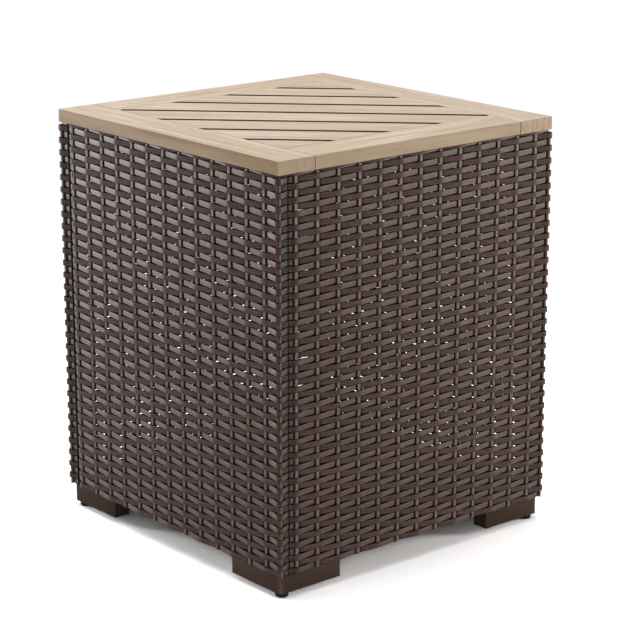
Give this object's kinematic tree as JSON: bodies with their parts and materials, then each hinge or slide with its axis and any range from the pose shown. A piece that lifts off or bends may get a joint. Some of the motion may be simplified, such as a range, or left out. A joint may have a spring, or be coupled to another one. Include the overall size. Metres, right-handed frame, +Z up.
{
  "type": "storage side table",
  "caption": "Square outdoor side table with a woven resin body, L-shaped feet, storage inside and a hinged slatted wooden lid",
  "frame": {"origin": "centre of the footprint, on the floor under the glides", "axes": "X along the front from left to right, -Y out of the front, +Z up; the hinges are at the back, +Y"},
  "size_m": [0.5, 0.509, 0.6],
  "materials": {
    "wicker": "matt extruded resin strip with fine grooves along it, brown and grey-brown mixed",
    "frame_metal": "dark brown powder coat",
    "foot_metal": "dark brown powder coat",
    "glide_plastic": "black moulded plastic",
    "lid_wood": "pale greyed timber, matt, grain along each board",
    "batten_wood": "plain sawn timber, matt",
    "hinge_steel": "zinc plated",
    "fastener_steel": "zinc plated"
  },
  "bodies": {
    "body": {"front_top_rail": "frame_metal", "front_bottom_rail": "frame_metal", "front_start_post": "frame_metal", "front_end_post": "frame_metal", "right_top_rail": "frame_metal", "right_bottom_rail": "frame_metal", "right_start_post": "frame_metal", "right_end_post": "frame_metal", "back_top_rail": "frame_metal", "back_bottom_rail": "frame_metal", "back_start_post": "frame_metal", "back_end_post": "frame_metal", "left_top_rail": "frame_metal", "left_bottom_rail": "frame_metal", "left_start_post": "frame_metal", "left_end_post": "frame_metal", "front_weave": "wicker", "right_weave": "wicker", "back_weave": "wicker", "left_weave": "wicker", "foot_front_right": "foot_metal", "foot_back_right": "foot_metal", "foot_back_left": "foot_metal", "foot_front_left": "foot_metal", "glide_front_right": "glide_plastic", "glide_back_right": "glide_plastic", "glide_back_left": "glide_plastic", "glide_front_left": "glide_plastic", "base_bar_front": "frame_metal", "base_bar_back": "frame_metal", "base_slats": "frame_metal", "hinge_frame_leaf_left": "hinge_steel", "hinge_frame_leaf_right": "hinge_steel", "hinge_pins": "hinge_steel", "foot_screws": "fastener_steel", "corner_bolts": "fastener_steel", "base_screws": "fastener_steel", "hinge_frame_screws": "fastener_steel"},
    "lid": {"lid_board_front": "lid_wood", "lid_board_back": "lid_wood", "lid_board_left": "lid_wood", "lid_board_right": "lid_wood", "lid_slat_1": "lid_wood", "lid_slat_2": "lid_wood", "lid_slat_3": "lid_wood", "lid_slat_4": "lid_wood", "lid_slat_5": "lid_wood", "lid_slat_6": "lid_wood", "lid_slat_7": "lid_wood", "lid_slat_8": "lid_wood", "batten_front": "batten_wood", "batten_back": "batten_wood", "batten_left": "batten_wood", "batten_right": "batten_wood", "batten_centre": "batten_wood", "hinge_lid_leaf_left": "hinge_steel", "hinge_lid_leaf_right": "hinge_steel", "lid_screws": "fastener_steel", "hinge_lid_screws": "fastener_steel"}
  },
  "joints": [
    {"name": "lid_hinge", "type": "hinge", "parent": "body", "child": "lid", "pos_m": [0, 0.2536, 0.5812], "axis": [-1, 0, 0], "range_deg": [0, 95]}
  ]
}
